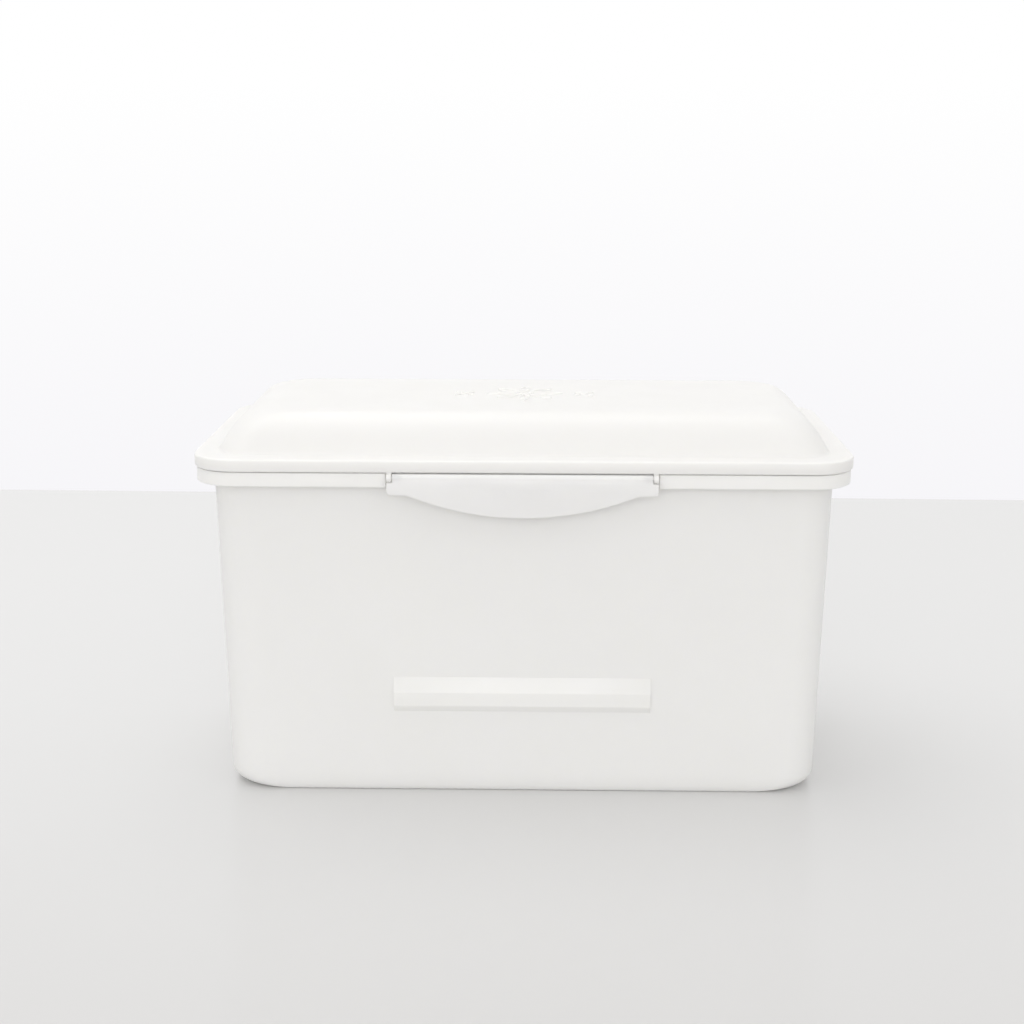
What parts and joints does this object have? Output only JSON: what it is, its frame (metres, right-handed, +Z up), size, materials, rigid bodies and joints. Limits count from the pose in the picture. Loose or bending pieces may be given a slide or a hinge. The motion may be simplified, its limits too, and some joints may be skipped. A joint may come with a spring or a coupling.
{
  "type": "breast milk storage freezer box",
  "caption": "Translucent moulded freezer box for filed milk storage bags: tapered tub with a turned-down rim, domed lift-off lid with a seal, and hinged hook latches front and rear.",
  "frame": {"origin": "middle of the tub's underside, on the surface it stands on", "axes": "+Z up, -Y towards the front face with the raised bar, +X to the viewer's right along the long side"},
  "size_m": [0.29, 0.1462, 0.175],
  "materials": {
    "tub": "fine satin, translucent natural polypropylene",
    "lid": "fine satin, milky translucent polypropylene",
    "latch": "fine satin, milky translucent polypropylene",
    "seal": "matt translucent white silicone"
  },
  "bodies": {
    "tub": {"tub": "tub"},
    "lid": {"lid": "lid", "lid_seal": "seal"},
    "front_latch": {"front_latch": "latch"},
    "rear_latch": {"rear_latch": "latch"}
  },
  "joints": [
    {"name": "lid_lift", "type": "slide", "parent": "tub", "child": "lid", "axis": [0, 0, 1], "range_m": [0, 0.1]},
    {"name": "front_latch_hinge", "type": "hinge", "parent": "lid", "child": "front_latch", "pos_m": [0, -0.0714, 0.1497], "axis": [-1, 0, 0], "range_deg": [0, 110]},
    {"name": "rear_latch_hinge", "type": "hinge", "parent": "lid", "child": "rear_latch", "pos_m": [0, 0.0714, 0.1497], "axis": [1, 0, 0], "range_deg": [0, 110]}
  ]
}
